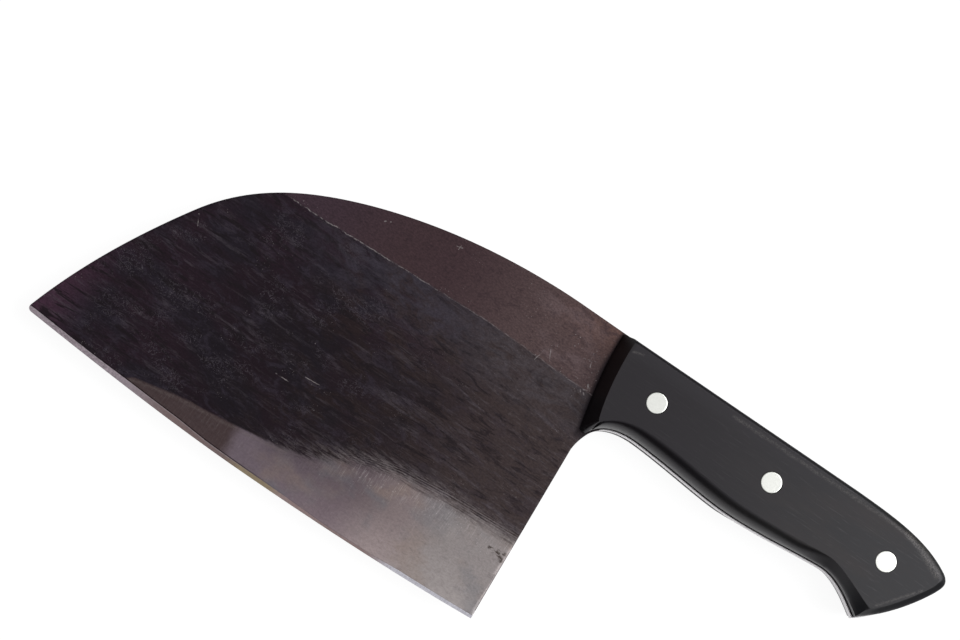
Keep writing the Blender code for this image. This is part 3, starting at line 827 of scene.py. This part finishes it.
# Three cutler's rivets hold the scales. Each is pressed together from a headed tube above and a
# headed pin below, turned from nickel silver and polished flush with the scales.
HEAD = 3.7  # radii of the head, the tube, its bore and the pin
TUBE = 2.6
BORE = 1.8
PIN = 1.5
HEAD_TOP = 10.95
HEAD_FOOT = HEAD_TOP - 2.4
ROOM = 0.3  # between the ends of the two halves
head_profile = [(0, HEAD_TOP), (3.3, HEAD_TOP), (3.5, HEAD_TOP - 0.02), (3.62, HEAD_TOP - 0.07),
                (HEAD, HEAD_TOP - 0.2), (HEAD, HEAD_FOOT)]
tube_profile = [*head_profile, (TUBE, HEAD_FOOT), (TUBE, -HEAD_FOOT + ROOM),
                (BORE, -HEAD_FOOT + ROOM), (BORE, HEAD_FOOT - ROOM), (0, HEAD_FOOT - ROOM)]
pin_profile = [(0, HEAD_FOOT - 2 * ROOM), (PIN, HEAD_FOOT - 2 * ROOM), (PIN, -HEAD_FOOT)]
pin_profile += [(radius, -height) for radius, height in reversed(head_profile)]

silver = Finish("polished_nickel_silver")
rub = silver.noise((2.5, 0.12, 1), 4, 0.6)
silver.set(Base_Color=tint(234, 235, 230), Metallic=1.0,
           Roughness=silver.step(rub, 0.3, 0.7, 0.2, 0.28), Normal=silver.bump(rub, 0.002))
for label, centre in RIVETS.items():
    for half, profile in (("tube", tube_profile), ("pin", pin_profile)):
        mesh = drawn_mesh(f"rivet_{label}_{half}", spun(profile, centre))
        crease(mesh, 50)
        mesh.materials.append(silver.material)
        fit_piece(f"cutler_rivet_{label}_{half}", mesh, "rivet_steel", f"rivet_{label}_{half}")

# The knife lies on a pale floor under a soft overhead light, seen from above with a long lens. A
# broad lamp high up past the butt and the spine lights the far edges.
CAMERA_AT = Vector((-47.614, -84.805, 1045.908)) * MM
LOOKS_AT = Vector((-26.614, 31.195, 11.0)) * MM
KNIFE_TURN = radians(34.818)
FLOOR_REACH = 3
FLOOR_GREY = (0.2, 0.2, 0.203, 1)
FLOOR_WHITE = 0.93  # how bright the floor looks to the camera
SHADE = (0.040, 0.056)  # metres towards the spine over which the floor darkens in reflections
REFLECTED = (0.9, 0.3)  # how bright it looks there, before and behind
SKY_FROM = Vector((0.22, 0.16, 1))  # where the soft light comes from, and how far it spreads
SKY_SPREAD = (radians(38), radians(8))
SKY_STRENGTH = (0.12, 1.1)

camera_data = bpy.data.cameras.new("camera")
camera_data.lens = 116.25
camera_data.sensor_width = 36
camera = add_object("camera", camera_data)
ahead = (LOOKS_AT - CAMERA_AT).normalized()
level = Vector((cos(KNIFE_TURN), sin(KNIFE_TURN), 0))
level = (level - ahead * level.dot(ahead)).normalized()
turned = Matrix((level, level.cross(ahead), -ahead)).transposed().to_4x4()
camera.matrix_world = Matrix.Translation(CAMERA_AT) @ turned
bpy.context.scene.camera = camera

bm = bmesh.new()
bmesh.ops.create_grid(bm, x_segments=1, y_segments=1, size=FLOOR_REACH)
floor_mesh = bpy.data.meshes.new("floor")
bm.to_mesh(floor_mesh)
bm.free()
floor = add_object("floor", floor_mesh)
paper = bpy.data.materials.new("white_paper")
paper.use_nodes = True
tree = paper.node_tree
tree.nodes.clear()
# Shiny surfaces see the floor darker behind the knife, where no light falls on it.
spot = add_node(tree, "ShaderNodeTexCoord").outputs["Object"]
behind = add_node(tree, "ShaderNodeVectorMath", {0: spot, 1: (0.2, 1, 0)},
                  operation="DOT_PRODUCT").outputs["Value"]
mirrored = add_node(tree, "ShaderNodeMapRange",
                    {0: behind, 1: SHADE[0], 2: SHADE[1], 3: REFLECTED[0], 4: REFLECTED[1]},
                    interpolation_type="SMOOTHSTEP").outputs[0]
ray = add_node(tree, "ShaderNodeLightPath").outputs
shiny = add_node(tree, "ShaderNodeMath", {0: ray["Is Glossy Ray"], 1: ray["Is Transmission Ray"]},
                 operation="MAXIMUM").outputs[0]
shiny = add_node(tree, "ShaderNodeMath", {0: shiny, 1: mirrored}, operation="MULTIPLY").outputs[0]
strength = add_node(tree, "ShaderNodeMath", {0: ray["Is Camera Ray"], 1: FLOOR_WHITE, 2: shiny},
                    operation="MULTIPLY_ADD").outputs[0]
glow = add_node(tree, "ShaderNodeEmission", {"Strength": strength}).outputs[0]
matt = add_node(tree, "ShaderNodeBsdfDiffuse", {"Color": FLOOR_GREY}).outputs[0]
surface = add_node(tree, "ShaderNodeAddShader", {0: matt, 1: glow}).outputs[0]
add_node(tree, "ShaderNodeOutputMaterial", {"Surface": surface})
floor_mesh.materials.append(paper)

world = bpy.data.worlds.new("studio")
bpy.context.scene.world = world
world.use_nodes = True
tree = world.node_tree
tree.nodes.clear()
direction = add_node(tree, "ShaderNodeTexCoord").outputs["Generated"]
toward = add_node(tree, "ShaderNodeVectorMath", {0: direction, 1: SKY_FROM.normalized()},
                  operation="DOT_PRODUCT").outputs["Value"]
spread = add_node(tree, "ShaderNodeMapRange",
                  {0: toward, 1: cos(SKY_SPREAD[0]), 2: cos(SKY_SPREAD[1]), 3: SKY_STRENGTH[0],
                   4: SKY_STRENGTH[1]}, interpolation_type="SMOOTHSTEP").outputs[0]
lit = add_node(tree, "ShaderNodeBackground", {"Strength": spread}).outputs[0]
plain = add_node(tree, "ShaderNodeBackground", {"Color": (1, 1, 1, 1)}).outputs[0]
ray = add_node(tree, "ShaderNodeLightPath").outputs
chosen = add_node(tree, "ShaderNodeMixShader", {0: ray["Is Camera Ray"], 1: lit, 2: plain})
add_node(tree, "ShaderNodeOutputWorld", {"Surface": chosen.outputs[0]})

lamp = bpy.data.lights.new("softbox", "AREA")
lamp.energy = 14
lamp.size = 1.2
softbox = add_object("softbox", lamp)
softbox.location = (0.9, 0.6, 1.2)
softbox.rotation_euler = (-softbox.location).to_track_quat("-Z", "Y").to_euler()

bpy.context.scene.view_settings.view_transform = "Standard"
